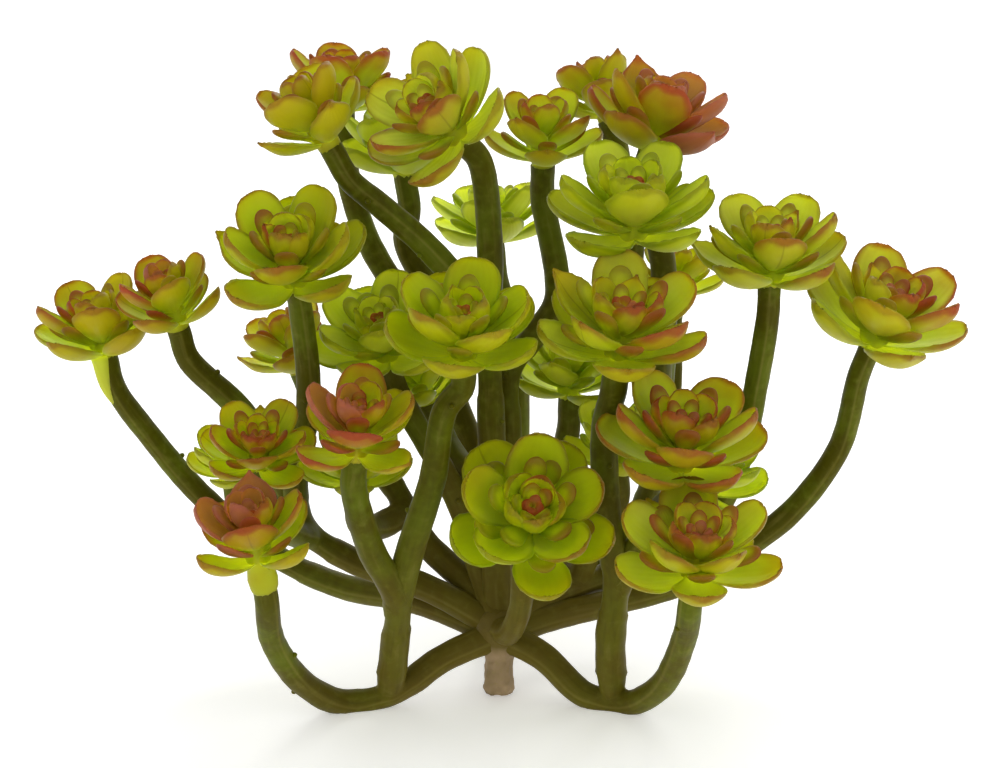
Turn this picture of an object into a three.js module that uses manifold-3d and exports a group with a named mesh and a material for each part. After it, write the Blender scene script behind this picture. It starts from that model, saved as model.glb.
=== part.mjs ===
// A tree aeonium moulded in soft plastic, with no pot: a short cut stub carries a knob, and branched
// stems spread from the knob like the legs of a spider, each stem ending in a rosette of spoon-shaped
// leaves. Three of the stems sag to the surface before they turn up, and the plant stands on them.
// Millimetres, +Z up, the viewer of the front on the -Y side. Places are counted from the stub's axis
// at the level of the surface, and the finished group is moved so that its box is centred on the origin.
import * as THREE from "three";
import { mergeVertices } from "three/addons/utils/BufferGeometryUtils.js";
import Module from "manifold-3d";

const wasm = await Module();
wasm.setup();

// Driving dimensions
const gap = 0.3; // left between pieces that meet
const stub = { radius: 4.4, bottom: 0.5, edge: 0.7, knobRadius: 7.2, knobLow: 14, knobHigh: 25, shoulder: 3 };
const stem = { rootRadius: 4.0, tipRadius: 3.1, step: 16, neck: 8 };
const rosetteRadius = { large: 22.5, small: 17.5 };
const sides = { stub: 14, stem: 6, core: 6, leaf: 4 };
const surface = { width: 400, depth: 40 }; // its top is at z = 0, and what reaches lower is cut to a flat foot

const colours = { stub: 0x7d6a4c, stem: 0x55581f };
const tones = {
  green: 0x8fa52c,
  bright: 0xa5c23a,
  pale: 0xb4c567,
  olive: 0x8a8334,
  yellow: 0xb5a53c,
  red: 0xb4714a,
};

// Tiers of a rosette from the lowest up. Lengths are shares of the rosette's radius and angles are
// degrees: rise is the leaf's slope at its root, and curl is what it gains on the way to its tip.
const tiers = {
  large: [
    { count: 5, root: 0.12, reach: 1.04, width: 0.68, rise: 9, curl: 32, turn: 0 },
    { count: 5, root: 0.21, reach: 1.1, width: 0.68, rise: 24, curl: 30, turn: 36 },
    { count: 3, root: 0.32, reach: 0.84, width: 0.66, rise: 47, curl: 24, turn: 10 },
  ],
  small: [
    { count: 4, root: 0.15, reach: 1.04, width: 0.72, rise: 9, curl: 32, turn: 0 },
    { count: 4, root: 0.36, reach: 1.1, width: 0.74, rise: 29, curl: 30, turn: 45 },
    { count: 3, root: 0.58, reach: 0.88, width: 0.68, rise: 51, curl: 24, turn: 10 },
  ],
};
// Shares of the rosette's radius, and the degrees that a leaf may be off its place
const leaf = { thick: 0.085, cup: 0.075, stray: 5 };
// Stations from a leaf's root to its tip, and its width there as a share of the tier's width
const leafOutline = [
  { along: 0, width: 0 },
  { along: 0.64, width: 1 },
  { along: 0.9, width: 0.76 },
  { along: 1, width: 0 },
];
// The core that the leaves grow from: radius and height as shares of the rosette's radius
const cores = {
  large: [
    [0.2, 0.28],
    [0, 0.64],
  ],
  small: [
    [0.2, 0.5],
    [0, 0.92],
  ],
};

// The stems. A run's route starts in what it grows from and ends at the base of its rosette, whose
// axis is given by lean. A run with no rosette ends inside another run. Rosette sizes are the mould's,
// times scale, turn is the angle of its first leaf, and open is how much lower its leaves lie.
const branches = [
  {
    name: "front_left",
    runs: [
      {
        route: [[0, 0, 18], [-16, -5, 12], [-29, -9, 3.8], [-42, -12, 2.2], [-52, -22, 11], [-59, -38, 29]],
        end: [-60, -56, 54.5],
        rosette: { mould: "small", scale: 1.1, tone: "red", lean: [-0.12, -0.3, 1], open: -3, turn: 45 },
      },
      {
        route: [[-30, -10, 5], [-28, -18, 22], [-27, -28, 38], [-33, -38, 54]],
        end: [-36, -54, 82.5],
        rosette: { mould: "small", scale: 1.1, tone: "red", lean: [0.1, -0.45, 1], turn: 45 },
      },
      {
        route: [[-28, -24, 32], [-23, -33, 53], [-17, -40, 74], [-13.5, -46, 94]],
        end: [-9, -50, 107],
        rosette: { mould: "large", tone: "green", lean: [0.02, -0.5, 1], open: -3, turn: 42 },
      },
    ],
  },
  {
    name: "front_right",
    runs: [
      {
        route: [[0, 0, 18], [12, -5, 13], [23, -9, 3.8], [34, -12, 2], [43, -24, 11], [48, -45, 33]],
        end: [48.5, -62, 54],
        rosette: { mould: "large", tone: "red", lean: [0.05, -0.4, 1], open: 3, turn: 54 },
      },
      {
        route: [[31, -11, 5], [30, -19, 23], [31, -25, 42], [28.5, -26, 60], [27.5, -27, 83]],
        end: [30, -38, 104],
        rosette: { mould: "large", scale: 1.1, tone: "green", lean: [0.08, -0.35, 1], open: 1, turn: 54 },
      },
      {
        route: [[31, -24, 38], [37, -26, 52], [43, -31, 64]],
        end: [46, -43, 75.8],
        rosette: { mould: "large", scale: 1.07, tone: "red", lean: [0.05, -0.3, 1], open: 3, turn: 16 },
      },
    ],
  },
  {
    name: "front",
    runs: [
      {
        route: [[0, 0, 20], [3, -10, 22], [6, -20, 34]],
        end: [7, -36, 58.5],
        rosette: { mould: "large", scale: 1.1, tone: "green", lean: [0.12, -1, 0.8], open: -2, turn: 59 },
      },
    ],
  },
  {
    name: "left_low",
    runs: [
      {
        route: [[0, 0, 18], [-22, 12, 23], [-45, 26, 23], [-64, 32, 30], [-84, 30, 48], [-98, 24, 68]],
        end: [-108, 16, 92],
        rosette: { mould: "large", scale: 0.92, tone: "yellow", lean: [-0.2, -0.1, 1], open: -3, turn: 20 },
      },
      {
        route: [[-62, 31, 29], [-70, 24, 37]],
        end: [-74, 16, 56.5],
        rosette: { mould: "small", scale: 0.8, tone: "pale", lean: [-0.1, -0.3, 1], turn: 0 },
      },
    ],
  },
  {
    name: "left_high",
    runs: [
      {
        route: [[0, 0, 20], [-19, 5, 29], [-41, 10, 36], [-53, 8, 45], [-55.5, 0, 62], [-51, -6, 86]],
        end: [-53, -15, 118.5],
        rosette: { mould: "large", scale: 1.06, tone: "green", lean: [-0.1, -0.6, 1], open: -7, turn: 18 },
      },
      {
        route: [[-55, 6, 49], [-60, 5, 62], [-70, 2, 81]],
        end: [-85.5, -2, 103.5],
        rosette: { mould: "small", tone: "yellow", lean: [-0.25, -0.25, 1], open: -4, turn: -20 },
      },
      {
        route: [[-52, 8, 43], [-58, -6, 50], [-60, -18, 58]],
        end: [-62.5, -28, 73],
        rosette: { mould: "large", scale: 0.75, tone: "olive", lean: [0, -0.5, 1], open: 3, turn: 18 },
      },
    ],
  },
  {
    name: "left_steep",
    runs: [
      {
        route: [[0, 0, 22], [-9.5, 10, 30], [-21, 15, 40], [-29, 18, 54], [-43, 31, 68]],
        end: [-56, 40, 81],
        rosette: { mould: "small", tone: "yellow", lean: [-0.4, 0, 1], turn: 0 },
      },
      {
        route: [[-26, 16, 48], [-34, 5, 47]],
        end: [-38, -12, 61],
        rosette: { mould: "small", tone: "green", lean: [0, -0.3, 1], turn: 0 },
      },
    ],
  },
  {
    name: "middle_left",
    runs: [
      {
        route: [[0, 0, 22], [-5, 7, 34], [-10, 7, 51], [-17, 6, 66], [-24, 7, 78]],
        end: [-30, 8, 93],
        rosette: { mould: "large", scale: 0.97, tone: "green", lean: [-0.2, -0.5, 1], open: -3, turn: 30 },
      },
    ],
  },
  {
    name: "middle",
    runs: [
      {
        route: [[0, 0, 20], [-0.6, 3, 35], [-1, 5, 55], [-2, 5, 72], [-2.4, 5, 89], [-3, 3, 106], [-2.4, 0, 126]],
        end: [-9.5, -8, 156],
        rosette: { mould: "large", scale: 1.05, tone: "yellow", lean: [-0.6, -0.5, 0.75], open: -3, turn: 34 },
      },
      {
        route: [[-2.4, 5, 92], [-9, 3, 113], [-18.5, 0, 126], [-31, -5, 138.5]],
        end: [-43, -10, 153.5],
        rosette: { mould: "small", scale: 1.08, tone: "yellow", lean: [-0.55, -0.1, 1], open: -5, turn: 30 },
      },
      {
        route: [[-1.6, 5, 58], [-11, 17, 62]],
        end: [-19, 25, 76],
        rosette: { mould: "small", scale: 0.8, tone: "pale", lean: [-0.4, -0.1, 1], turn: 0 },
      },
    ],
  },
  {
    name: "middle_back",
    runs: [
      {
        route: [[0, 0, 20], [2, 11, 33], [2.5, 15, 69.5], [3, 18, 88.5], [9, 20, 97], [16, 24, 107]],
        end: [12, 25, 143],
        rosette: { mould: "small", scale: 1.03, tone: "green", lean: [0, -0.25, 1], turn: 5 },
      },
      {
        route: [[3, 18, 86], [-5, 26, 96], [-17, 33, 106], [-26, 33, 121]],
        end: [-26, 30, 140],
        rosette: { mould: "large", scale: 0.92, tone: "bright", lean: [-0.15, 0, 1], open: -3, turn: 0 },
      },
    ],
  },
  {
    name: "right_low",
    runs: [
      {
        route: [[0, 0, 18], [17, 8, 20.5], [34, 16, 22], [51, 22, 25], [69, 26, 34], [83, 24, 46], [95, 19, 66]],
        end: [101, 10, 96],
        rosette: { mould: "large", scale: 1.15, tone: "yellow", lean: [0.3, -0.25, 1], open: 2, turn: -5 },
      },
    ],
  },
  {
    name: "right_high",
    runs: [
      {
        route: [[0, 0, 20], [17, 14, 25], [32, 22, 28], [46, 25, 34], [61, 22, 47], [67.5, 15, 66], [70, 8, 85]],
        end: [72.3, 0, 115.5],
        rosette: { mould: "large", scale: 1.04, tone: "yellow", lean: [0, -0.2, 1], turn: 18 },
      },
      {
        route: [[20, 16, 25], [22, 22, 34], [20, 30, 47], [19, 38, 60]],
        end: [20, 38, 75],
        rosette: { mould: "large", scale: 0.85, tone: "pale", lean: [0, -0.1, 1], open: 2, turn: 0 },
      },
      {
        route: [[22, 18, 27], [26, 14, 40]],
        end: [33, 12, 60],
        rosette: { mould: "small", tone: "pale", lean: [0, -0.2, 1], turn: 0 },
      },
      {
        route: [[52, 24, 38], [58, 12, 40]],
        end: [56, 0, 56],
        rosette: { mould: "small", tone: "green", lean: [0.2, -0.4, 1], turn: 0 },
      },
    ],
  },
  {
    name: "back_right",
    runs: [
      {
        route: [[0, 0, 18], [12, 30, 20], [35, 45, 28], [44, 40, 50], [45, 30, 77], [44, 16, 98]],
        end: [35, -12, 129.5],
        rosette: { mould: "large", scale: 1.1, tone: "green", lean: [0, -0.25, 1], open: 2, turn: 18 },
      },
      {
        route: [[45, 32, 72], [46, 28, 98], [45, 26, 120]],
        end: [40.5, 20, 148],
        rosette: { mould: "large", scale: 1.03, tone: "red", lean: [0.25, -0.1, 1], open: -4, turn: 20 },
      },
      {
        route: [[44, 40, 52], [42, 52, 80], [34, 59, 112]],
        end: [32, 60, 150],
        rosette: { mould: "small", tone: "yellow", lean: [-0.3, 0.3, 1], turn: 0 },
      },
      {
        route: [[44, 40, 60], [49, 46, 76]],
        end: [50, 48, 101],
        rosette: { mould: "small", scale: 0.85, tone: "yellow", lean: [0.1, 0, 1], open: 6, turn: 0 },
      },
    ],
  },
  {
    name: "back_left",
    runs: [
      {
        route: [[0, 0, 20], [-5, 26, 30], [-8, 45, 58], [-23, 51, 93], [-37, 53, 117], [-42, 53, 132]],
        end: [-44, 52, 154],
        rosette: { mould: "large", scale: 0.9, tone: "red", lean: [0, 0, 1], turn: 0 },
      },
    ],
  },
  {
    name: "back",
    runs: [
      {
        route: [[0, 0, 18], [0, 25, 10], [0, 50, 2.2], [2, 70, 12], [5, 80, 40], [5, 76, 80]],
        end: [-1.5, 68, 113],
        rosette: { mould: "large", scale: 0.9, tone: "bright", lean: [-0.1, 0.1, 1], open: 4, turn: 0 },
      },
    ],
  },
];

// A seeded draw from -1 to 1
function draw(seed) {
  const mixed = Math.abs(Math.sin(seed * 12.9898)) * 43758.5453;
  return 2 * (mixed - Math.floor(mixed)) - 1;
}

// A profile of [radius, height] pairs turned about +Z
function turned(profile, count) {
  const points = profile.map(([r, h]) => new THREE.Vector2(r, h));
  return new THREE.LatheGeometry(points, count).rotateX(Math.PI / 2);
}

// A closed geometry as a solid that can be joined and cut
function solidOf(geometry) {
  const bare = geometry.clone().deleteAttribute("normal").deleteAttribute("uv");
  const merged = mergeVertices(bare, 1e-4);
  const mesh = new wasm.Mesh({
    numProp: 3,
    vertProperties: merged.attributes.position.array,
    triVerts: new Uint32Array(merged.index.array),
  });
  return new wasm.Manifold(mesh);
}

// A solid as a geometry, without the loose scraps that a cut can leave
function geometryOf(solid) {
  const largest = solid.decompose().reduce((a, b) => (a.volume() > b.volume() ? a : b));
  const mesh = largest.getMesh();
  const geometry = new THREE.BufferGeometry();
  geometry.setAttribute("position", new THREE.BufferAttribute(mesh.vertProperties, 3));
  geometry.setIndex(new THREE.BufferAttribute(mesh.triVerts, 1));
  geometry.computeVertexNormals();
  return geometry;
}

// One leaf, reaching out from the rosette's axis at an angle about it: a ball with four sides whose
// rings are moved to the leaf's stations. Its middle line is an arc that curls upwards, and its edges
// stand up as a cup.
function leafSolid(radius, tier, rise, angle) {
  const rings = leafOutline.length - 1;
  const geometry = new THREE.SphereGeometry(1, sides.leaf, rings);
  const place = geometry.attributes.position;
  const first = THREE.MathUtils.degToRad(rise);
  const curl = THREE.MathUtils.degToRad(tier.curl);
  for (let i = 0; i < place.count; i++) {
    const polar = Math.acos(THREE.MathUtils.clamp(place.getY(i), -1, 1));
    const station = leafOutline[rings - Math.round((polar / Math.PI) * rings)];
    const ring = Math.max(Math.sin(polar), 1e-9);
    const across = (place.getX(i) / ring) * Math.sign(station.width);
    const through = (place.getZ(i) / ring) * Math.sign(station.width);
    const slope = first + curl * station.along;
    const length = tier.reach * radius;
    const lift = radius * (through * leaf.thick * 0.5 + across * across * leaf.cup) * station.width;
    const out = (length * (Math.sin(slope) - Math.sin(first))) / curl - lift * Math.sin(slope);
    const up = (length * (Math.cos(first) - Math.cos(slope))) / curl + lift * Math.cos(slope);
    const side = across * 0.5 * tier.width * radius * station.width;
    place.setXYZ(i, out, -side, tier.root * radius + up);
  }
  return solidOf(geometry.rotateZ(THREE.MathUtils.degToRad(angle)));
}

// A whole rosette about +Z, standing on the end of its stem at the origin
function rosetteGeometry({ mould, scale = 1, open = 0 }, seed) {
  const radius = rosetteRadius[mould] * scale;
  const profile = cores[mould].map(([r, h]) => [r * radius, h * radius]);
  let solid = solidOf(turned([[0, 0], [stem.tipRadius + gap, 0], ...profile], sides.core));
  tiers[mould].forEach((tier, level) => {
    for (let i = 0; i < tier.count; i++) {
      const rise = tier.rise - open + leaf.stray * draw(seed * 31 + level * 7 + i);
      const angle = tier.turn + (i * 360) / tier.count + leaf.stray * draw(seed * 17 + level * 5 + i);
      solid = solid.add(leafSolid(radius, tier, rise, angle));
    }
  });
  return geometryOf(solid);
}

// A stem along a smooth curve through its route, as a cylinder bent to it that narrows to its tip
function stemSolid(points, radii, grow) {
  const curve = new THREE.CatmullRomCurve3(points, false, "centripetal");
  const steps = Math.max(2, Math.round(curve.getLength() / stem.step));
  const frames = curve.computeFrenetFrames(steps, false);
  const geometry = new THREE.CylinderGeometry(1, 1, 1, sides.stem, steps);
  const place = geometry.attributes.position;
  for (let i = 0; i < place.count; i++) {
    const k = Math.round((place.getY(i) + 0.5) * steps);
    const radius = THREE.MathUtils.lerp(radii[0], radii[1], k / steps) + grow;
    const at = curve.getPointAt(k / steps);
    at.addScaledVector(frames.normals[k], place.getX(i) * radius);
    at.addScaledVector(frames.binormals[k], -place.getZ(i) * radius);
    place.setXYZ(i, at.x, at.y, at.z);
  }
  return solidOf(geometry);
}

// A run's points, with a straight neck into its rosette
function runPoints(run) {
  const points = run.route.map((p) => new THREE.Vector3(...p));
  if (run.rosette) {
    const lean = new THREE.Vector3(...run.rosette.lean).normalize();
    const end = new THREE.Vector3(...run.end);
    points.push(end.clone().addScaledVector(lean, -stem.neck));
    points.push(end.clone().addScaledVector(lean, -gap));
  }
  return points;
}

function branchSolid(branch, grow) {
  const radii = [stem.rootRadius, stem.tipRadius];
  return branch.runs.map((run) => stemSolid(runPoints(run), radii, grow)).reduce((a, b) => a.add(b));
}

function stubSolid(grow) {
  const { radius, bottom, edge, knobRadius, knobLow, knobHigh, shoulder } = stub;
  const profile = [
    [0, bottom - grow],
    [radius - edge + grow, bottom - grow],
    [radius + grow, bottom + edge - grow],
    [radius + grow, knobLow - shoulder],
    [knobRadius + grow, knobLow],
    [knobRadius + grow, knobHigh],
    [knobRadius - shoulder + grow, knobHigh + shoulder + grow],
    [0, knobHigh + shoulder + grow],
  ];
  return solidOf(turned(profile, sides.stub));
}

function addMesh(group, name, geometry, colour, roughness) {
  const material = new THREE.MeshStandardMaterial({ color: colour, roughness, metalness: 0 });
  const mesh = new THREE.Mesh(geometry, material);
  mesh.name = name;
  group.add(mesh);
  return mesh;
}

const plant = new THREE.Group();
addMesh(plant, "stub", geometryOf(stubSolid(0)), colours.stub, 0.7);

const surfaceBox = new THREE.BoxGeometry(surface.width, surface.width, surface.depth);
let taken = stubSolid(gap).add(solidOf(surfaceBox.translate(0, 0, -surface.depth / 2)));
let seed = 1;
for (const branch of branches) {
  const solid = branchSolid(branch, 0).subtract(taken);
  addMesh(plant, "stem_" + branch.name, geometryOf(solid), colours.stem, 0.55);
  taken = taken.add(branchSolid(branch, gap));
  let number = 1;
  for (const { end, rosette } of branch.runs.filter((run) => run.rosette)) {
    const geometry = rosetteGeometry(rosette, seed);
    const name = `rosette_${branch.name}_${number}`;
    const mesh = addMesh(plant, name, geometry, tones[rosette.tone], 0.4);
    const lean = new THREE.Vector3(...rosette.lean).normalize();
    mesh.quaternion.setFromUnitVectors(new THREE.Vector3(0, 0, 1), lean);
    mesh.rotateZ(THREE.MathUtils.degToRad(rosette.turn));
    mesh.position.set(...end);
    number += 1;
    seed += 1;
  }
}

// The box is centred on the origin
const box = new THREE.Box3().setFromObject(plant, true);
const middle = box.getCenter(new THREE.Vector3());
plant.position.set(-middle.x, -middle.y, 0);

export default plant;
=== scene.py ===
import math
import random

import bmesh
import bpy
from mathutils import Matrix, Vector


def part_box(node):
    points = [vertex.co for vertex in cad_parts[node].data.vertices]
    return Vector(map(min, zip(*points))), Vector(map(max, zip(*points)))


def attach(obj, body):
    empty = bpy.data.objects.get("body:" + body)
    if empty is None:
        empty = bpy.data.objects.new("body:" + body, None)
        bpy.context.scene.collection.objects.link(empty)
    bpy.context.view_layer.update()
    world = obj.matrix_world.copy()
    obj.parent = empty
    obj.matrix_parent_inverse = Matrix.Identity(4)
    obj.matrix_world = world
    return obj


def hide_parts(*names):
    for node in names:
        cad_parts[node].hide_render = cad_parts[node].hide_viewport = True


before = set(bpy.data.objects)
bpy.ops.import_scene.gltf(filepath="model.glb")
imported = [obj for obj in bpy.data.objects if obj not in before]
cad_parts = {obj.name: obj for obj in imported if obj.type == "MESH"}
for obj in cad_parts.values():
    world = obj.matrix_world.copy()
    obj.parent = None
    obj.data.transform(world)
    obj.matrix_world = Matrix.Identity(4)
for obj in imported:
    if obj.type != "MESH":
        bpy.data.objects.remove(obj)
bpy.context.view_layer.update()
bpy.ops.object.select_all(action="DESELECT")

mm = 0.001

# All stems start in the knob on the stub, and its axis is where their places are counted from
stubLow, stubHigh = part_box("stub")
hub = Vector(((stubLow.x + stubHigh.x) / 2, (stubLow.y + stubHigh.y) / 2, 0))

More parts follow.
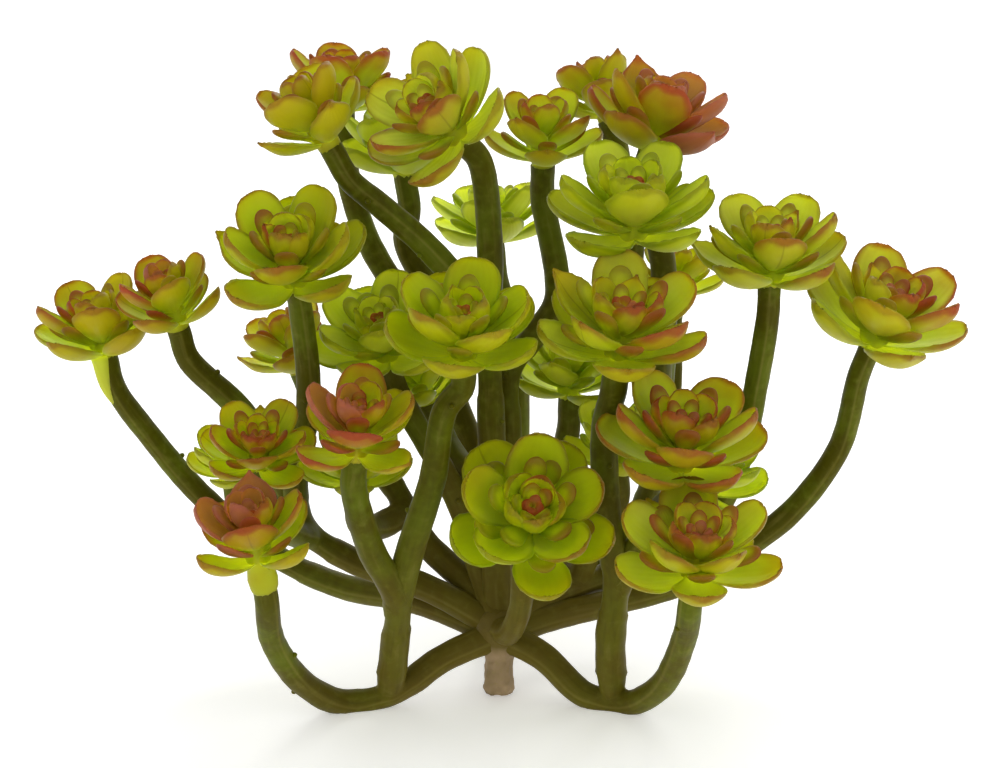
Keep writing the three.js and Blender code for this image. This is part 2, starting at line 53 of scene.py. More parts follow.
# Each run is one length of stem, in mm, with the head on its end: its size, where it points and its colours.
# red, warm and pale are amounts, mostly 0 to 1; pale is partly the head's own paler green and partly painted
# light, high on heads at the back and sides that catch the light and low on shaded front heads. redAt is the
# side in degrees on which the red is strongest.
branches = [
    {"name": "front_left", "runs": [
        {"route": [(0, 0, 18), (-16, -5, 12), (-29, -9, 3.8), (-42, -12, 2.2), (-52, -22, 11),
                   (-59, -38, 29)],
         "end": (-60, -56, 54.5), "mould": "small", "scale": 1.1, "lean": (-0.12, -0.3, 1), "open": -3,
         "turn": 45, "slot": "leaf_red", "red": 1.85, "warm": 0.95, "pale": -0.2, "outerRed": 0.6,
         "redAt": 150, "collar": True},
        {"route": [(-30, -10, 5), (-28, -18, 22), (-27, -28, 38), (-33, -38, 54)],
         "end": (-36, -54, 82.5), "mould": "small", "scale": 1.1, "lean": (0.1, -0.45, 1), "turn": 45,
         "slot": "leaf_red", "red": 1.25, "warm": 1.0, "pale": -0.8, "outerRed": 1.1, "redAt": 200},
        {"route": [(-28, -24, 32), (-23, -33, 53), (-17, -40, 74), (-13.5, -46, 94)],
         "end": (-9, -50, 107), "mould": "large", "lean": (0.02, -0.5, 1), "open": -3, "turn": 42,
         "slot": "leaf_green", "red": 0.35, "warm": 0.4, "pale": -0.7},
    ]},
    {"name": "front_right", "runs": [
        {"route": [(0, 0, 18), (12, -5, 13), (23, -9, 3.8), (34, -12, 2), (43, -24, 11), (48, -45, 33)],
         "end": (48.5, -62, 54), "mould": "large", "lean": (0.05, -0.4, 1), "open": 3, "turn": 54,
         "slot": "leaf_red", "red": 0.75, "warm": 0.7, "pale": 0.4, "outerRed": 1.2},
        {"route": [(31, -11, 5), (30, -19, 23), (31, -25, 42), (28.5, -26, 60), (27.5, -27, 83)],
         "end": (30, -38, 104), "mould": "large", "scale": 1.1, "lean": (0.08, -0.35, 1), "open": 1,
         "turn": 54, "slot": "leaf_green", "red": 0.6, "warm": 0.6, "pale": 0.35, "outerRed": 1.3,
         "redAt": -30},
        {"route": [(31, -24, 38), (37, -26, 52), (43, -31, 64)],
         "end": (46, -43, 75.8), "mould": "large", "scale": 1.07, "lean": (0.05, -0.3, 1), "open": 3,
         "turn": 16, "slot": "leaf_red", "red": 0.8, "warm": 0.8, "pale": 0.35, "outerRed": 1.6},
    ]},
    {"name": "front", "runs": [
        {"route": [(0, 0, 20), (3, -10, 22), (6, -20, 34)],
         "end": (7, -36, 58.5), "mould": "large", "scale": 1.1, "lean": (0.12, -1, 0.8), "open": -2,
         "turn": 59, "slot": "leaf_green", "red": 0.4, "warm": 0.4, "pale": -0.2, "redAt": 40,
         "sleeve": True, "thin": 0.86},
    ]},
    {"name": "left_low", "runs": [
        {"route": [(0, 0, 18), (-22, 12, 23), (-45, 26, 23), (-64, 32, 30), (-84, 30, 48), (-98, 24, 68)],
         "end": (-108, 16, 92), "mould": "large", "scale": 0.92, "lean": (-0.2, -0.1, 1), "open": -3,
         "turn": 20, "slot": "leaf_yellow", "red": 0.6, "warm": 0.85, "pale": 0.1, "redAt": 170,
         "sheath": True},
        {"route": [(-62, 31, 29), (-70, 24, 37)],
         "end": (-74, 16, 56.5), "mould": "small", "scale": 0.8, "lean": (-0.1, -0.3, 1), "turn": 0,
         "slot": "leaf_pale", "red": 0.1, "warm": 0.4, "pale": 0.7},
    ]},
    {"name": "left_high", "runs": [
        {"route": [(0, 0, 20), (-19, 5, 29), (-41, 10, 36), (-53, 8, 45), (-55.5, 0, 62), (-51, -6, 86)],
         "end": (-53, -15, 118.5), "mould": "large", "scale": 1.06, "lean": (-0.1, -0.6, 1), "open": -7,
         "turn": 18, "slot": "leaf_green", "red": 0.5, "warm": 0.5, "pale": 0.25, "outerRed": 1.2,
         "redAt": 200},
        {"route": [(-55, 6, 49), (-60, 5, 62), (-70, 2, 81)],
         "end": (-85.5, -2, 103.5), "mould": "small", "lean": (-0.25, -0.25, 1), "open": -4, "turn": -20,
         "slot": "leaf_yellow", "red": 1.2, "warm": 1.0, "pale": -0.3, "redAt": 150},
        {"route": [(-52, 8, 43), (-58, -6, 50), (-60, -18, 58)],
         "end": (-62.5, -28, 73), "mould": "large", "scale": 0.75, "lean": (0, -0.5, 1), "open": 3,
         "turn": 18, "slot": "leaf_olive", "red": 0.8, "warm": 1.0, "pale": -0.8},
    ]},
    {"name": "left_steep", "runs": [
        {"route": [(0, 0, 22), (-9.5, 10, 30), (-21, 15, 40), (-29, 18, 54), (-43, 31, 68)],
         "end": (-56, 40, 81), "mould": "small", "lean": (-0.4, 0, 1), "turn": 0, "slot": "leaf_yellow",
         "red": 0.7, "warm": 0.75, "pale": 0.9, "outerRed": 1.2},
        {"route": [(-26, 16, 48), (-34, 5, 47)],
         "end": (-38, -12, 61), "mould": "small", "lean": (0, -0.3, 1), "turn": 0, "slot": "leaf_green",
         "red": 0.1, "warm": 0.2, "pale": 0.25},
    ]},
    {"name": "middle_left", "runs": [
        {"route": [(0, 0, 22), (-5, 7, 34), (-10, 7, 51), (-17, 6, 66), (-24, 7, 78)],
         "end": (-30, 8, 93), "mould": "large", "scale": 0.97, "lean": (-0.2, -0.5, 1), "open": -3,
         "turn": 30, "slot": "leaf_green", "red": 0.12, "warm": 0.25, "pale": 0.5},
    ]},
    {"name": "middle", "runs": [
        {"route": [(0, 0, 20), (-0.6, 3, 35), (-1, 5, 55), (-2, 5, 72), (-2.4, 5, 89), (-3, 3, 106),
                   (-2.4, 0, 126)],
         "end": (-9.5, -8, 156), "mould": "large", "scale": 1.05, "lean": (-0.6, -0.5, 0.75), "open": -3,
         "turn": 34, "slot": "leaf_yellow", "red": 0.5, "warm": 0.7, "pale": 1.0, "outerRed": 1.3,
         "redAt": 240},
        {"route": [(-2.4, 5, 92), (-9, 3, 113), (-18.5, 0, 126), (-31, -5, 138.5)],
         "end": (-43, -10, 153.5), "mould": "small", "scale": 1.08, "lean": (-0.55, -0.1, 1), "open": -5,
         "turn": 30, "slot": "leaf_yellow", "red": 0.8, "warm": 0.95, "pale": 0.05},
        {"route": [(-1.6, 5, 58), (-11, 17, 62)],
         "end": (-19, 25, 76), "mould": "small", "scale": 0.8, "lean": (-0.4, -0.1, 1), "turn": 0,
         "slot": "leaf_pale", "red": 0.05, "warm": 0.3, "pale": 0.6},
    ]},
    {"name": "middle_back", "runs": [
        {"route": [(0, 0, 20), (2, 11, 33), (2.5, 15, 69.5), (3, 18, 88.5), (9, 20, 97), (16, 24, 107)],
         "end": (12, 25, 143), "mould": "small", "scale": 1.03, "lean": (0, -0.25, 1), "turn": 5,
         "slot": "leaf_green", "red": 0.8, "warm": 0.75, "pale": 0.4, "outerRed": 0.8},
        {"route": [(3, 18, 86), (-5, 26, 96), (-17, 33, 106), (-26, 33, 121)],
         "end": (-26, 30, 140), "mould": "large", "scale": 0.92, "lean": (-0.15, 0, 1), "open": -3,
         "turn": 0, "slot": "leaf_bright", "red": 0.0, "warm": 0.2, "pale": 0.6},
    ]},
    {"name": "right_low", "runs": [
        {"route": [(0, 0, 18), (17, 8, 20.5), (34, 16, 22), (51, 22, 25), (69, 26, 34), (83, 24, 46),
                   (95, 19, 66)],
         "end": (101, 10, 96), "mould": "large", "scale": 1.15, "lean": (0.3, -0.25, 1), "open": 2,
         "turn": -5, "slot": "leaf_yellow", "red": 0.8, "warm": 0.8, "pale": 0.95, "redAt": 20},
    ]},
    {"name": "right_high", "runs": [
        {"route": [(0, 0, 20), (17, 14, 25), (32, 22, 28), (46, 25, 34), (61, 22, 47), (67.5, 15, 66),
                   (70, 8, 85)],
         "end": (72.3, 0, 115.5), "mould": "large", "scale": 1.04, "lean": (0, -0.2, 1), "turn": 18,
         "slot": "leaf_yellow", "red": 0.45, "warm": 0.6, "pale": 0.75, "outerRed": 1.5, "redAt": -20},
        {"route": [(20, 16, 25), (22, 22, 34), (20, 30, 47), (19, 38, 60)],
         "end": (20, 38, 75), "mould": "large", "scale": 0.85, "lean": (0, -0.1, 1), "open": 2, "turn": 0,
         "slot": "leaf_pale", "red": 0.05, "warm": 0.2, "pale": 0.6},
        {"route": [(22, 18, 27), (26, 14, 40)],
         "end": (33, 12, 60), "mould": "small", "lean": (0, -0.2, 1), "turn": 0, "slot": "leaf_pale",
         "red": 0.0, "warm": 0.2, "pale": 0.6},
        {"route": [(52, 24, 38), (58, 12, 40)],
         "end": (56, 0, 56), "mould": "small", "lean": (0.2, -0.4, 1), "turn": 0, "slot": "leaf_green",
         "red": 0.0, "warm": 0.15, "pale": 0.5},
    ]},
    {"name": "back_right", "runs": [
        {"route": [(0, 0, 18), (12, 30, 20), (35, 45, 28), (44, 40, 50), (45, 30, 77), (44, 16, 98)],
         "end": (35, -12, 129.5), "mould": "large", "scale": 1.1, "lean": (0, -0.25, 1), "open": 2,
         "turn": 18, "slot": "leaf_green", "red": 0.1, "warm": 0.25, "pale": 0.5},
        {"route": [(45, 32, 72), (46, 28, 98), (45, 26, 120)],
         "end": (40.5, 20, 148), "mould": "large", "scale": 1.03, "lean": (0.25, -0.1, 1), "open": -4,
         "turn": 20, "slot": "leaf_red", "red": 1.8, "warm": 1.0, "pale": 0.3, "outerRed": 1.5,
         "redAt": 30},
        {"route": [(44, 40, 52), (42, 52, 80), (34, 59, 112)],
         "end": (32, 60, 150), "mould": "small", "lean": (-0.3, 0.3, 1), "turn": 0, "slot": "leaf_yellow",
         "red": 0.85, "warm": 0.8, "pale": 0.2},
        {"route": [(44, 40, 60), (49, 46, 76)],
         "end": (50, 48, 101), "mould": "small", "scale": 0.85, "lean": (0.1, 0, 1), "open": 6, "turn": 0,
         "slot": "leaf_yellow", "red": 0.4, "warm": 0.8, "pale": 0.4},
    ]},
    {"name": "back_left", "runs": [
        {"route": [(0, 0, 20), (-5, 26, 30), (-8, 45, 58), (-23, 51, 93), (-37, 53, 117), (-42, 53, 132)],
         "end": (-44, 52, 154), "mould": "large", "scale": 0.9, "lean": (0, 0, 1), "turn": 0,
         "slot": "leaf_red", "red": 1.05, "warm": 0.9, "pale": 0.7, "outerRed": 1.0},
    ]},
    {"name": "back", "runs": [
        {"route": [(0, 0, 18), (0, 25, 10), (0, 50, 2.2), (2, 70, 12), (5, 80, 40), (5, 76, 80)],
         "end": (-1.5, 68, 113), "mould": "large", "scale": 0.9, "lean": (-0.1, 0.1, 1), "open": 4,
         "turn": 0, "slot": "leaf_bright", "red": 0.0, "warm": 0.1, "pale": 1.5},
    ]},
]


def makeActive(piece):
    if bpy.context.object and bpy.context.object.mode != "OBJECT":
        bpy.ops.object.mode_set(mode="OBJECT")
    bpy.ops.object.select_all(action="DESELECT")
    piece.select_set(True)
    bpy.context.view_layer.objects.active = piece


def applyPlace():
    bpy.ops.object.transform_apply(location=True, rotation=True, scale=True)


def joinPieces(pieces, name):
    makeActive(pieces[0])
    for piece in pieces:
        piece.select_set(True)
    bpy.ops.object.join()
    joined = bpy.context.object
    joined.name = name
    joined.data.name = name
    return joined


def applyModifier(piece, kind, **settings):
    makeActive(piece)
    bpy.ops.object.modifier_add(type=kind)
    modifier = piece.modifiers[-1]
    for key, value in settings.items():
        setattr(modifier, key, value)
    bpy.ops.object.modifier_apply(modifier=modifier.name)


def splitEdges(piece, axis, cuts):
    # every edge that runs along the axis is cut into equal lengths
    makeActive(piece)
    bpy.ops.object.mode_set(mode="EDIT")
    bpy.ops.mesh.select_mode(type="EDGE")
    bpy.ops.mesh.select_all(action="DESELECT")
    mesh = bmesh.from_edit_mesh(piece.data)
    for edge in mesh.edges:
        line = edge.verts[0].co - edge.verts[1].co
        edge.select_set(abs(line[axis]) > 0.9 * line.length)
    bmesh.update_edit_mesh(piece.data)
    bpy.ops.mesh.subdivide(number_cuts=cuts)
    bpy.ops.object.mode_set(mode="OBJECT")


def pickVerts(piece, test):
    # works in edit mode, on the place and the number of each point
    bpy.ops.mesh.select_mode(type="VERT")
    bpy.ops.mesh.select_all(action="DESELECT")
    mesh = bmesh.from_edit_mesh(piece.data)
    mesh.verts.ensure_lookup_table()
    for vert in mesh.verts:
        vert.select_set(bool(test(vert.co, vert.index)))
    mesh.select_flush_mode()
    bmesh.update_edit_mesh(piece.data)


def facesOutward():
    bpy.ops.mesh.select_all(action="SELECT")
    bpy.ops.mesh.normals_make_consistent(inside=False)


def extrudeRings(rings, centre):
    # the selected end is drawn up through rings of (radius, height)
    for (before, below), (after, level) in zip(rings, rings[1:]):
        bpy.ops.mesh.extrude_region_move(TRANSFORM_OT_translate={"value": (0, 0, level - below)})
        bpy.ops.transform.resize(value=(after / before, after / before, 1),
                                 center_override=(centre.x, centre.y, level))


def setValues(piece, **values):
    # a number for each point, or one for all, that the materials read as an attribute
    points = len(piece.data.vertices)
    for name, value in values.items():
        layer = piece.data.attributes.get(name) or piece.data.attributes.new(name, "FLOAT", "POINT")
        layer.data.foreach_set("value", value if isinstance(value, list) else [value] * points)


class Socket:
    # a socket of a material, on which plain arithmetic adds Math nodes
    def __init__(self, finish, link):
        self.finish = finish
        self.link = link

    def math(self, operation, *values, clamp=False):
        settings = {"operation": operation, "use_clamp": clamp}
        return self.finish.node("ShaderNodeMath", settings, dict(enumerate(values)))

    def __add__(self, other):
        return self.math("ADD", self, other)

    def __radd__(self, other):
        return self.math("ADD", other, self)

    def __sub__(self, other):
        return self.math("SUBTRACT", self, other)

    def __rsub__(self, other):
        return self.math("SUBTRACT", other, self)

    def __mul__(self, other):
        return self.math("MULTIPLY", self, other)

    def __rmul__(self, other):
        return self.math("MULTIPLY", other, self)

    def __abs__(self):
        return self.math("ABSOLUTE", self)

    def sine(self):
        return self.math("SINE", self)

    def clamped(self):
        return self.math("ADD", self, 0.0, clamp=True)


class Finish:
    # a material while its nodes are laid out
    def __init__(self, name, constants):
        self.material = bpy.data.materials.new(name)
        self.material.use_nodes = True
        self.tree = self.material.node_tree
        self.shader = self.tree.nodes["Principled BSDF"]
        for key, value in constants.items():
            self.shader.inputs[key].default_value = value

    def node(self, kind, settings, values, output=0):
        # a Mix node limits its factor to 0 to 1 by itself
        made = self.tree.nodes.new(kind)
        for key, value in settings.items():
            setattr(made, key, value)
        for key, value in values.items():
            socket = made.inputs[key]
            if isinstance(value, Socket):
                self.tree.links.new(value.link, socket)
            elif socket.type == "RGBA":
                socket.default_value = (*value, 1)
            else:
                socket.default_value = value
        return Socket(self, made.outputs[output])

    def place(self):
        return self.node("ShaderNodeTexCoord", {}, {}, "Object")

    def attribute(self, name):
        return self.node("ShaderNodeAttribute", {"attribute_name": name}, {}, "Fac")

    def noise(self, place, scale, detail):
        return self.node("ShaderNodeTexNoise", {}, {"Vector": place, "Scale": scale, "Detail": detail})

    def smooth(self, value, low, high):
        return self.node("ShaderNodeMapRange", {"interpolation_type": "SMOOTHSTEP"},
                         {"Value": value, "From Min": low, "From Max": high})

    def mix(self, factor, first, second):
        return self.node("ShaderNodeMix", {"data_type": "RGBA"}, {0: factor, 6: first, 7: second}, 2)

    def bump(self, height, strength, depth):
        return self.node("ShaderNodeBump", {}, {"Strength": strength, "Distance": depth, "Height": height})

    def feed(self, name, value):
        self.tree.links.new(value.link, self.shader.inputs[name])


# painted light: deep and green are the leaf green in shade and lit is the same green in light; pale is partly
# a paler leaf colour and partly painted light through the leaves; root is painted light in the leaf roots,
# and the crease colour is painted shade in a leaf's fold
leafPaint = {
    "deep": (0.220, 0.250, 0.001), "green": (0.300, 0.355, 0.002), "lit": (0.420, 0.490, 0.008),
    "pale": (0.640, 0.700, 0.090), "root": (0.700, 0.720, 0.070), "warm": (0.360, 0.280, 0.004),
    "brown": (0.215, 0.078, 0.009), "red": (0.250, 0.045, 0.013), "pink": (0.330, 0.110, 0.055),
    "crease": (0.090, 0.090, 0.002), "fringe": (0.120, 0.200, 0.001),
    "cloudScale": 120.0, "wideScale": 42.0, "fineScale": 900.0, "streaks": 26.0, "grainDepth": 0.0003,
}


def leafMaterial(name):
    paint = leafPaint
    finish = Finish(name, {
        "Subsurface Weight": 1.0, "Subsurface Radius": (0.85, 1.0, 0.12), "Subsurface Scale": 0.006,
        "IOR": 1.3, "Specular IOR Level": 0.25})
    finish.shader.subsurface_method = "BURLEY"
    along, across, rim, side = (finish.attribute(key) for key in ("along", "across", "rim", "side"))
    red, warm, pale, crease = (finish.attribute(key) for key in ("red", "warm", "pale", "crease"))
    place = finish.place()
    cloud = finish.noise(place, paint["cloudScale"], 3.0)
    wide = finish.noise(place, paint["wideScale"], 2.0)
    fine = finish.noise(place, paint["fineScale"], 2.0)
    # painted light: the underside takes the shaded greens, deep and green, and the inner face the lit and
    # pale ones
    shade = 0.5 + (cloud - 0.5) * 1.2 + (wide - 0.5) * 0.8 - along * 0.25
    shadedUnderside = finish.mix(shade, paint["green"], paint["deep"])
    inner = finish.mix(pale * 0.8 + (1 - along) * 0.2 + (cloud - 0.5) * 0.7, paint["lit"], paint["pale"])
    # painted light: the inner face and the thin middle of a leaf are painted lightest, as if lit and with
    # light through them, the underside darker as if in shade, and its rim is a deep line
    middle = (1 - across * across) * finish.smooth(along, 0.1, 0.45) * (1 - finish.smooth(along, 0.7, 1.0))
    thin = finish.smooth(side, -0.4, 0.5) * 0.45 + middle * 0.35 + pale * 0.4 - rim * 0.2
    body = finish.mix(thin, shadedUnderside, inner)
    # the fine streaks, drawn in the lit colour and stronger towards the root, are partly the leaf's own lines
    # and partly painted light
    streak = (across * paint["streaks"] + cloud * 7.0).sine()
    body = finish.mix((streak * 0.5 + 0.6) * (1.15 - along) * 0.4, body, paint["lit"])
    # light that gets into the thick roots of the leaves makes them paler
    body = finish.mix((1 - finish.smooth(along, 0.1, 0.75)) * 0.45, body, paint["root"])
    # warm olive comes over the outer half of most leaves
    ripe = finish.smooth(along * 0.8 + (wide - 0.5) * 1.2 + (cloud - 0.5) * 0.5 - side * 0.12, 0.15, 0.85)
    body = finish.mix(ripe * warm, body, paint["warm"])
    body = finish.mix(finish.smooth(rim, 0.3, 1.0) * (0.6 - warm * 0.4), body, paint["fringe"])
    # painted shade: a dark line down the middle of some leaves, standing in for shade in the fold along the
    # midrib
    line = 1 - finish.smooth(abs(across), 0.015, 0.06)
    body = finish.mix(line * crease * (along * 1.6).clamped() * 0.4, body, paint["crease"])
    # the blush starts at the tip and the rim, and comes further down the redder leaves
    spread = along * 0.95 + rim * 0.4 + (cloud - 0.5) * 0.5 + (wide - 0.5) * 0.5 + red * 0.6
    blush = finish.smooth(spread, 1.0, 2.0)
    strength = ((0.75 + rim * 0.3 - side * 0.15) * finish.smooth(red + rim * 0.3, -0.2, 1.0)).clamped()
    ruddy = finish.mix(finish.smooth(red + (cloud - 0.5) * 0.8, 0.5, 1.25), paint["brown"], paint["red"])
    body = finish.mix(blush * strength, body, ruddy)
    body = finish.mix(finish.smooth(red, 1.45, 2.0) * 0.7, body, paint["pink"])
    finish.feed("Base Color", body)
    finish.feed("Roughness", 0.36 + fine * 0.14 + cloud * 0.06)
    finish.feed("Normal", finish.bump(fine * 0.4 + cloud * 0.9 + streak * 0.1, 0.3, paint["grainDepth"]))
    return finish.material


# light is a pale tan for flecks, the seam and the streaks; in the streaks it is partly painted highlight
stemPaint = {
    "olive": (0.076, 0.070, 0.001), "green": (0.108, 0.132, 0.004), "brown": (0.130, 0.094, 0.012),
    "light": (0.290, 0.250, 0.060), "pink": (0.500, 0.350, 0.215), "dark": (0.050, 0.036, 0.004),
    "cloudScale": 60.0, "grainScale": 420.0, "speckScale": 1800.0, "grainDepth": 0.0004,
    "streakTurn": 1.3, "streakLength": 0.05, "streakScale": 1.5, "knobHeight": 0.018,
    "browned": (0.014, 0.085),
}


def stemMaterial(name):
    paint = stemPaint
    finish = Finish(name, {
        "Subsurface Weight": 0.5, "Subsurface Radius": (1.0, 0.8, 0.3), "Subsurface Scale": 0.002,
        "IOR": 1.25, "Specular IOR Level": 0.2})
    place = finish.place()
    cloud = finish.noise(place, paint["cloudScale"], 4.0)
    grain = finish.noise(place, paint["grainScale"], 4.0)
    speck = finish.noise(place, paint["speckScale"], 2.0)
    body = finish.mix(finish.smooth(cloud + (grain - 0.5) * 0.4, 0.35, 0.68), paint["olive"], paint["green"])
    # browner towards the knob in the middle
    away = finish.node("ShaderNodeVectorMath", {"operation": "DISTANCE"},
                       {0: place, 1: (hub.x, hub.y, paint["knobHeight"])}, "Value")
    near = 1 - finish.smooth(away + (cloud - 0.5) * 0.03, *paint["browned"])
    body = finish.mix(near * 0.8, body, paint["brown"])
    body = finish.mix(finish.smooth(grain, 0.5, 0.85) * 0.16, body, paint["light"])
    # drawn-out streaks run along the stem; the pale ones are partly the moulding's own streaky colour and
    # partly painted highlight lines
    drawn = finish.node("ShaderNodeCombineXYZ", {}, {
        "X": finish.attribute("turnX") * paint["streakTurn"],
        "Y": finish.attribute("turnY") * paint["streakTurn"],
        "Z": finish.attribute("length") * paint["streakLength"]})
    streak = finish.noise(drawn, paint["streakScale"], 3.0)
    body = finish.mix(finish.smooth(streak, 0.5, 0.85) * 0.26, body, paint["light"])
    body = finish.mix((1 - finish.smooth(streak, 0.2, 0.5)) * 0.35, body, paint["dark"])
    seam = finish.smooth(finish.attribute("seam"), 0.45, 1.0)
    body = finish.mix(seam * cloud * 0.4, body, paint["light"])
    finish.feed("Base Color", body)
    finish.feed("Roughness", 0.36 + grain * 0.22)
    height = grain * 0.7 + speck * 0.2 + cloud * 1.2 + streak * 0.5
    finish.feed("Normal", finish.bump(height, 0.3, paint["grainDepth"]))
    return finish.material


stubPaint = {
    "cloudScale": 170.0, "grainScale": 800.0, "grainDepth": 0.0005, "cut": (0.0006, 0.0022),
    "knob": (0.0125, 0.0160),
}


def stubMaterial(name):
    # olive brown where the stems meet, pinkish on the bare stub, darker at its cut end
    paint = {**stemPaint, **stubPaint}
    finish = Finish(name, {"IOR": 1.45, "Specular IOR Level": 0.25})
    place = finish.place()
    height = finish.node("ShaderNodeSeparateXYZ", {}, {"Vector": place}, "Z")
    cloud = finish.noise(place, paint["cloudScale"], 4.0)
    grain = finish.noise(place, paint["grainScale"], 3.0)
    bare = finish.mix(0.55 + (cloud - 0.5) * 0.9, paint["brown"], paint["pink"])
    bare = finish.mix(finish.smooth(grain, 0.5, 0.85) * 0.35, bare, paint["light"])
    cut = 1 - finish.smooth(height + (cloud - 0.5) * 0.002, *paint["cut"])
    bare = finish.mix(cut * 0.6, bare, paint["dark"])
    knob = finish.smooth(height + (cloud - 0.5) * 0.006, *paint["knob"])
    finish.feed("Base Color", finish.mix(knob, bare, paint["brown"]))
    finish.feed("Roughness", 0.48 + grain * 0.24)
    finish.feed("Normal", finish.bump(grain * 0.6 + cloud * 1.4, 0.45, paint["grainDepth"]))
    return finish.material


# Each kind of leaf is modelled once at a rosette radius of 1, standing up with its inner face to +X.
# Every whorl of broad leaves has a whorl of small club leaves lying in it, as the mouldings have.
rosetteRadius = {"large": 22.5, "small": 17.5}
leafPlan = {
    "large": {
        "outer": {"count": 5, "root": 0.08, "reach": 1.05, "width": 0.66, "rise": 3, "curl": 34,
                  "turn": 0, "blade": "broad", "red": 0.6},
        "outerClub": {"count": 5, "root": 0.19, "reach": 0.8, "width": 0.32, "rise": 16, "curl": 30,
                      "turn": 3, "blade": "club", "red": 1.0},
        "second": {"count": 5, "root": 0.21, "reach": 1.04, "width": 0.64, "rise": 25, "curl": 24,
                   "turn": 36, "blade": "broad", "red": 0.95},
        "secondClub": {"count": 5, "root": 0.28, "reach": 0.78, "width": 0.29, "rise": 37, "curl": 26,
                       "turn": 40, "blade": "club", "red": 1.1},
        "third": {"count": 5, "root": 0.32, "reach": 0.66, "width": 0.4, "rise": 44, "curl": 22,
                  "turn": 10, "blade": "broad", "red": 1.1},
        "thirdClub": {"count": 5, "root": 0.38, "reach": 0.5, "width": 0.21, "rise": 54, "curl": 20,
                      "turn": 42, "blade": "club", "red": 1.2},
        "bud": {"count": 4, "root": 0.42, "reach": 0.36, "width": 0.16, "rise": 66, "curl": 10,
                "turn": 15, "blade": "club", "red": 1.3},
    },
    "small": {
        "outer": {"count": 4, "root": 0.15, "reach": 1.05, "width": 0.68, "rise": 7, "curl": 34,
                  "turn": 0, "blade": "broad", "red": 0.6},
        "outerClub": {"count": 4, "root": 0.25, "reach": 0.8, "width": 0.34, "rise": 19, "curl": 30,
                      "turn": 4, "blade": "club", "red": 1.0},
        "second": {"count": 4, "root": 0.34, "reach": 1.04, "width": 0.7, "rise": 30, "curl": 24,
                   "turn": 45, "blade": "broad", "red": 0.95},
        "secondClub": {"count": 4, "root": 0.44, "reach": 0.78, "width": 0.33, "rise": 40, "curl": 26,
                       "turn": 50, "blade": "club", "red": 1.1},
        "third": {"count": 4, "root": 0.52, "reach": 0.7, "width": 0.44, "rise": 48, "curl": 22,
                  "turn": 10, "blade": "broad", "red": 1.1},
        "thirdClub": {"count": 4, "root": 0.58, "reach": 0.5, "width": 0.24, "rise": 56, "curl": 18,
                      "turn": 52, "blade": "club", "red": 1.2},
        "bud": {"count": 3, "root": 0.62, "reach": 0.38, "width": 0.2, "rise": 66, "curl": 10,
                "turn": 20, "blade": "club", "red": 1.3},
    },
}
# versions are outlines of (place along the leaf, width there) as shares, and often says how often each comes
bladeShape = {
    "broad": {"columns": 6, "thick": 0.095, "edgeThick": 0.6, "tipThick": 0.3, "cup": 0.135, "spoon": 0.85,
              "groove": 0.012, "wave": 0.016, "nibble": 0.014, "often": (5, 4, 1), "versions": [
                  [(0, 0.22), (0.1, 0.3), (0.24, 0.5), (0.4, 0.79), (0.56, 0.98), (0.71, 1.05), (0.85, 0.95),
                   (0.94, 0.72), (0.985, 0.46), (1.0, 0.16)],
                  [(0, 0.22), (0.1, 0.32), (0.24, 0.56), (0.4, 0.86), (0.56, 1.02), (0.7, 1.01), (0.84, 0.88),
                   (0.935, 0.66), (0.98, 0.43), (1.0, 0.14)],
                  [(0, 0.22), (0.1, 0.3), (0.24, 0.52), (0.4, 0.84), (0.56, 1.03), (0.7, 0.98), (0.81, 0.75),
                   (0.9, 0.44), (0.965, 0.17), (1.03, 0.03)]]},
    "club": {"columns": 2, "thick": 0.13, "edgeThick": 0.6, "tipThick": 0.3, "cup": 0.04, "spoon": 0.5,
             "groove": 0.0, "wave": 0.008, "nibble": 0.0, "often": (1, 1), "versions": [
                 [(0, 0.5), (0.3, 0.66), (0.6, 0.95), (0.82, 1.0), (0.95, 0.66), (1.0, 0.2)],
                 [(0, 0.5), (0.3, 0.6), (0.6, 0.88), (0.82, 1.05), (0.95, 0.74), (1.0, 0.2)]]},
}


# shares of a leaf's length or width that tell where its rim, its groove and its spoon are
leafZone = {"rimFrom": 0.49, "nibbleFrom": 0.85, "waveFrom": 0.3, "groove": (0.05, 0.8), "spoonFrom": 0.6}


